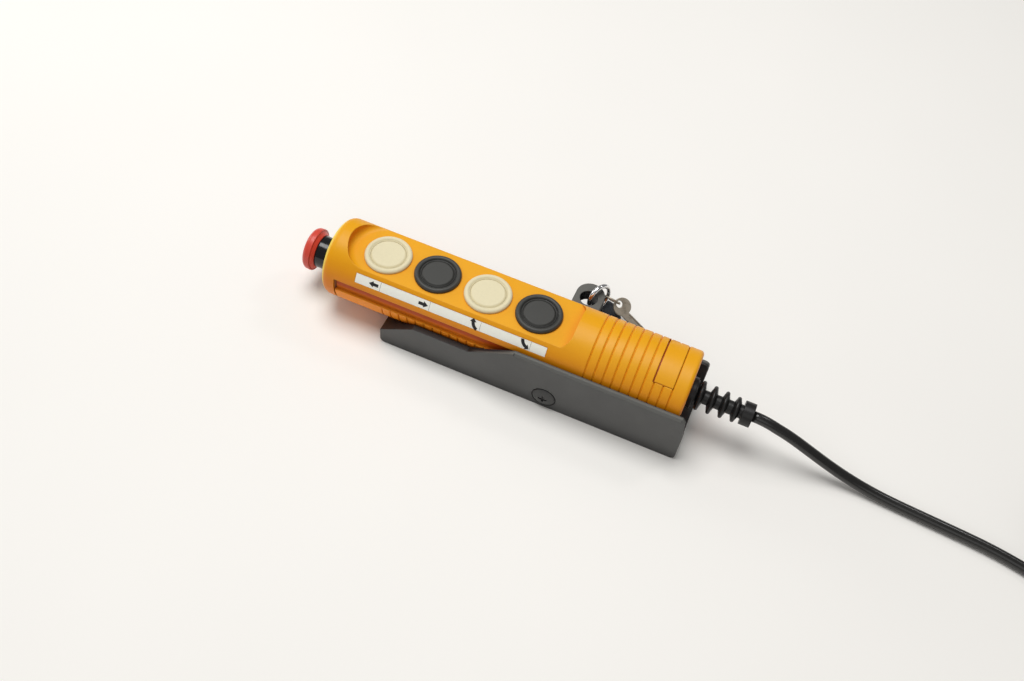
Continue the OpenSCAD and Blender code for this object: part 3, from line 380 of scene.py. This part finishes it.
# The CAD's nodes that each material covers.
NODES_OF = {
    "housing": ["upper_housing", "hatch_cover"],
    "lower": ["lower_housing"],
    "seal": ["housing_seal"],
    "label": ["label_strip"],
    "light_button": ["button_rim_1", "button_rim_3", "button_cap_1", "button_cap_3"],
    "dark_button": ["button_rim_2", "button_rim_4", "button_cap_2", "button_cap_4"],
    "stop_red": ["stop_head"],
    "black_gloss": ["stop_sleeve", "stop_collar"],
    "black_rubber": ["strain_relief", "inner_cable", "cable", "cable_tail", "cable_coil", "coil_tie",
                     "cable_gland", "plug_body", "contact_block_1", "contact_block_2", "contact_block_3",
                     "contact_block_4", "stop_block", "rim_nuts"],
    "knob": ["holder_screw"],
    "inner_plastic": ["cable_clamp", "plug_insert"],
    "board": ["circuit_board"],
    "steel": ["housing_screws", "board_screws", "clamp_screws", "stop_nut", "stop_spring", "plug_nut",
              "button_spring_1", "button_spring_2", "button_spring_3", "button_spring_4"],
    "holder_plastic": ["holder"],
    "chrome": ["key_ring"],
    "nickel": ["metal_key", "key_link", "key_blade"],
    "key_plastic": ["key_bow"],
}
for key, members in NODES_OF.items():
    for member in members:
        paint(nodes[member], MATS[key])


# ---------------------------------------------------------------- small helpers for meshes
def new_mesh(name, verts, faces, mat):
    me = bpy.data.meshes.new(name)
    me.from_pydata([tuple(v) for v in verts], [], [tuple(f) for f in faces])
    me.update()
    bm = bmesh.new()
    bm.from_mesh(me)
    bmesh.ops.recalc_face_normals(bm, faces=bm.faces)
    bm.to_mesh(me)
    bm.free()
    for p in me.polygons:
        p.use_smooth = True
    ob = bpy.data.objects.new(name, me)
    scene.collection.objects.link(ob)
    paint(ob, mat)
    return ob


def catmull(points, step):
    """Points on a smooth Catmull-Rom curve through the given ones, about step apart."""
    p = np.array(points, float)
    p = np.vstack([2 * p[0] - p[1], p, 2 * p[-1] - p[-2]])
    out = []
    for i in range(1, len(p) - 2):
        a, b, c, d = p[i - 1:i + 3]
        n = max(2, int(round(np.linalg.norm(c - b) / step)))
        for t in np.arange(n) / n:
            out.append(0.5 * (2 * b + (c - a) * t + (2 * a - 5 * b + 4 * c - d) * t ** 2
                              + (3 * b - a - 3 * c + d) * t ** 3))
    out.append(p[-2])
    return np.array(out)


def eased(path, reach):
    """The same path with small kinks averaged out, its ends kept in place."""
    out = path.copy()
    for i in range(1, len(path) - 1):
        k = min(reach, i, len(path) - 1 - i)
        out[i] = path[i - k:i + k + 1].mean(axis=0)
    return out


def tube(path, radius, sides):
    """Vertices and faces of a round tube with closed ends along a path."""
    path = np.array(path, float)
    tan = np.gradient(path, axis=0)
    tan /= np.linalg.norm(tan, axis=1)[:, None]
    n = np.cross(tan[0], (0, 0, 1.0))
    if np.linalg.norm(n) < 1e-6:
        n = np.array((1.0, 0, 0))
    n /= np.linalg.norm(n)
    verts, faces = [], []
    for i, p in enumerate(path):
        n = n - tan[i] * np.dot(n, tan[i])
        n /= np.linalg.norm(n)
        b = np.cross(tan[i], n)
        for k in range(sides):
            a = 2 * math.pi * k / sides
            verts.append(p + radius * (math.cos(a) * n + math.sin(a) * b))
    for i in range(len(path) - 1):
        for k in range(sides):
            j = (k + 1) % sides
            faces.append((i * sides + k, i * sides + j, (i + 1) * sides + j, (i + 1) * sides + k))
    faces.append(tuple(range(sides)))
    faces.append(tuple(range((len(path) - 1) * sides, len(path) * sides)))
    return verts, faces


# ---------------------------------------------------------------- the cable
ROUTE = [(111.1, 0, 28.5), (117, 0, 28.5), (124, 0, 27.3), (132, 0, 24.5), (141, 0, 20.5), (151, 0, 15.5),
         (162, 0, 10.5), (173, 0, 6.5), (186, -1, 3.9), (200, -2, 3.2), (214, -3, 3.2), (228, -4, 3.2),
         (242, -5, 3.2), (256, -6.2, 3.2), (268, -8.2, 3.2), (280, -11, 3.2), (291, -13.9, 3.2), (302, -16.5, 3.2),
         (312, -18.3, 3.2), (322, -19, 3.2)]
COIL = (322.0, 22.4)     # the coil's centre
COIL_R = 35
TURNS = 8
TAIL = [(322, -19, 16.0), (334, -19.4, 15.6), (346, -20.4, 14.6), (357, -22, 13.2), (367, -24.3, 11.9),
        (375, -26.4, 11.2), (380, -27.8, 10.9)]


def coil_path():
    """Eight turns, each in a place of its own in a three by three bundle, wound anticlockwise."""
    d = 2 * CABLE_R
    out, mid, inn = COIL_R + d, COIL_R, COIL_R - d
    lo, m, hi = CABLE_R, CABLE_R + d, CABLE_R + 2 * d
    seats = [(out, lo), (mid, lo), (inn, lo), (inn, m), (inn, hi), (mid, hi), (mid, m), (out, m), (out, hi)]
    pts = []
    steps = 72
    for i in range(TURNS * steps + 1):
        turn, phase = divmod(i / steps, 1.0)
        a, b = seats[int(turn)], seats[min(int(turn) + 1, TURNS)]
        t = min(1.0, max(0.0, (phase - 0.60) / 0.36))
        t = t * t * (3 - 2 * t)
        r, z = a[0] + (b[0] - a[0]) * t, a[1] + (b[1] - a[1]) * t
        ang = 2 * math.pi * phase - math.pi / 2
        pts.append((COIL[0] + r * math.cos(ang), COIL[1] + r * math.sin(ang), z))
    return pts


def make_cable():
    """One sheath over the free cable, the coil and the tail."""
    lead = eased(catmull(ROUTE, 3.0), 5)
    tail = catmull(TAIL, 3.0)
    path = np.vstack([lead[:-1], coil_path()[:-1], tail]) * MM
    verts, faces = tube(path, CABLE_R * MM, 14)
    ob = new_mesh("cable_sheath", verts, faces, MATS["cable_jacket"])
    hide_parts("cable", "cable_tail", "cable_coil")
    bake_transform(ob)


make_cable()


# ---------------------------------------------------------------- return springs
def spring(name, node, along, still, turns):
    """A coil in the place of a CAD spring, riding on the pendant.

    along is the number of its axis, still the end (0 low, 1 high) at which an anchor is taken that nothing uses.
    """
    box = np.array([list(c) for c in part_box(node)])
    wire = WIRE_D * MM
    steps = 24
    length = box[1][along] - box[0][along]
    a, b = [k for k in range(3) if k != along]
    centre = box.mean(axis=0)
    r = (box[1][a] - box[0][a]) / 2 - wire / 2
    path = []
    for i in range(turns * steps + 1):
        p = centre.copy()
        p[a] += r * math.cos(2 * math.pi * i / steps)
        p[b] += r * math.sin(2 * math.pi * i / steps)
        p[along] = box[0][along] + wire / 2 + (length - wire) * i / (turns * steps)
        path.append(p)
    verts, faces = tube(path, wire / 2, 8)
    ob = new_mesh(name, verts, faces, MATS["steel"])
    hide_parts(node)
    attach(ob, "pendant")
    axis, anchor = np.zeros(3), centre.copy()
    axis[along] = 1
    anchor[along] = box[still][along]
    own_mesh(ob)


for n in range(1, 5):
    spring("return_coil_%d" % n, "button_spring_%d" % n,
           along=2, still=0, turns=4)
spring("stop_coil", "stop_spring", along=0, still=1, turns=5)


# ---------------------------------------------------------------- print on the label
LABEL_LOW, LABEL_HIGH = 23.8, 37.8     # the label's edges, degrees above the barrel's horizontal plane
LABEL_W = math.radians(LABEL_HIGH - LABEL_LOW) * BODY_R
PRINT_T = 0.03                         # half the thickness of the print, mm
CUT = 0.4                              # spacing of the cuts that let the print follow the label's curve, mm


def on_label(u, w, lift):
    """A point on the label: u from the nose, w up from its lower edge, lift above its face, in mm."""
    r = BODY_R + lift
    a = math.radians(LABEL_LOW) + w / BODY_R
    return Vector((u - LUG_X, -r * math.cos(a), AXIS_H + r * math.sin(a))) * MM


def straight_arrow(u, way):
    """A block arrow along the label; way is 1 towards the cable and -1 towards the nose."""
    shape = [(-2.9, 0.9), (0.2, 0.9), (0.2, 1.85), (2.9, 0), (0.2, -1.85), (0.2, -0.9), (-2.9, -0.9)]
    return [(u + way * x, LABEL_W / 2 + y) for x, y in shape]


def bent_arrow(u, way):
    """A quarter turn with a head: way 1 ends at the label's upper edge, way -1 at its lower edge."""
    left, right, r, half, end = [], [], 5.0, 0.95, 66
    for i in range(13):
        a = math.radians(8 + (end - 8) * i / 12)
        left.append((-(r + half) * math.cos(a), -(r + half) * math.sin(a)))
        right.append((-(r - half) * math.cos(a), -(r - half) * math.sin(a)))
    if way > 0:
        head = [(-r + 1.9, -0.5), (-r - 0.1, 1.5), (-r - 1.9, -0.6)]
        shape = left[::-1] + head[::-1] + right
    else:
        a = math.radians(end)
        c = (-r * math.cos(a), -r * math.sin(a))
        t, n = (math.sin(a), -math.cos(a)), (-math.cos(a), -math.sin(a))
        corners = ((1.9, -0.1), (0, 2.0), (-1.9, -0.1))
        head = [(c[0] + n[0] * k + t[0] * m, c[1] + n[1] * k + t[1] * m) for k, m in corners]
        shape = left + head + right[::-1]
    xs, ys = [x for x, _ in shape], [y for _, y in shape]
    mx, my = (min(xs) + max(xs)) / 2, (min(ys) + max(ys)) / 2
    return [(u + x - mx, LABEL_W / 2 + y - my) for x, y in shape]


def in_order(bm):
    """Its vertices, no loose edges and its faces, in an order that is the same in every run."""
    verts = sorted(bm.verts, key=lambda v: tuple(v.co))
    number = {v: i for i, v in enumerate(verts)}
    faces = []
    for f in bm.faces:
        loop = [number[v] for v in f.verts]
        first = loop.index(min(loop))
        faces.append(loop[first:] + loop[:first])
    return [tuple(v.co) for v in verts], [], sorted(faces)


def printed(name, shapes, mat):
    """Thin printed shapes that follow the label's curve and ride on the pendant."""
    bm = bmesh.new()
    for shape in shapes:
        f = bm.faces.new([bm.verts.new((u, w, -PRINT_T)) for u, w in shape])
        top = bmesh.ops.extrude_face_region(bm, geom=[f])["geom"]
        for v in top:
            if isinstance(v, bmesh.types.BMVert):
                v.co.z = PRINT_T
    w = CUT
    while w < LABEL_W:
        bmesh.ops.bisect_plane(bm, geom=bm.verts[:] + bm.edges[:] + bm.faces[:], plane_co=(0, w, 0),
                               plane_no=(0, 1, 0), dist=1e-6)
        w += CUT
    for v in bm.verts:
        v.co = on_label(*v.co)
    bmesh.ops.recalc_face_normals(bm, faces=bm.faces)
    me = bpy.data.meshes.new(name)
    me.from_pydata(*in_order(bm))
    me.update()
    bm.free()
    ob = bpy.data.objects.new(name, me)
    scene.collection.objects.link(ob)
    paint(ob, mat)
    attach(ob, "pendant")


def label_line(u):
    """A thin line across the label."""
    half, margin = 0.09, 0.15
    low, high = margin, LABEL_W - margin
    return [(u - half, low), (u + half, low), (u + half, high), (u - half, high)]


printed("label_arrows", [straight_arrow(33.8, -1), straight_arrow(64.7, 1),
                         bent_arrow(95.6, 1), bent_arrow(126.2, -1)], MATS["ink"])
printed("label_lines", [label_line(u) for u in (38.0, 68.5, 99.5, 129.5)], MATS["ink_line"])


# ---------------------------------------------------------------- floor, world and lamps
WARM_WHITE = (1.0, 0.995, 0.985)


def make_stage():
    """A sheet of off-white paper under the object."""
    me = bpy.data.meshes.new("floor")
    s = 3.0
    me.from_pydata([(-s, -s, 0), (s, -s, 0), (s, s, 0), (-s, s, 0)], [], [(0, 1, 2, 3)])
    ob = bpy.data.objects.new("floor", me)
    scene.collection.objects.link(ob)
    m = Mat("floor_paper", Roughness=0.9, Specular_IOR_Level=0.1)
    cloud = m.remap(m.noise(2.2, 3), 0.3, 0.7, 0, 1)
    m.to("Base Color", m.mix(cloud, lin(247, 245, 241), lin(251, 249, 245)))
    paint(ob, m.mat)


def area(name, at, target, size, power, colour=WARM_WHITE):
    data = bpy.data.lights.new(name, "AREA")
    data.shape = "DISK"
    data.size = size
    data.energy = power
    data.color = colour
    ob = bpy.data.objects.new(name, data)
    ob.location = at
    ob.rotation_euler = (Vector(target) - Vector(at)).to_track_quat("-Z", "Y").to_euler()
    scene.collection.objects.link(ob)


def make_light():
    world = bpy.data.worlds.new("studio")
    scene.world = world
    world.use_nodes = True
    t = world.node_tree
    t.nodes.clear()
    out = t.nodes.new("ShaderNodeOutputWorld")
    bg = t.nodes.new("ShaderNodeBackground")
    bg.inputs["Color"].default_value = (1.0, 0.992, 0.978, 1)
    bg.inputs["Strength"].default_value = 0.21
    t.links.new(bg.outputs[0], out.inputs["Surface"])
    area("key", (-0.32, 0.14, 1.50), (0.05, 0, 0), 1.0, 17.3)
    area("fill", (0.25, -1.3, 1.05), (0, 0, 0), 1.3, 2.9)
    area("spark", (0.55, 0.75, 1.00), (0.20, 0, 0), 0.2, 1.0)
    area("rim", (-1.2, 0.30, 0.42), (-0.1, 0, 0.03), 0.4, 2.2, (1.0, 0.98, 0.94))


make_stage()
make_light()
scene.view_settings.view_transform = "Standard"
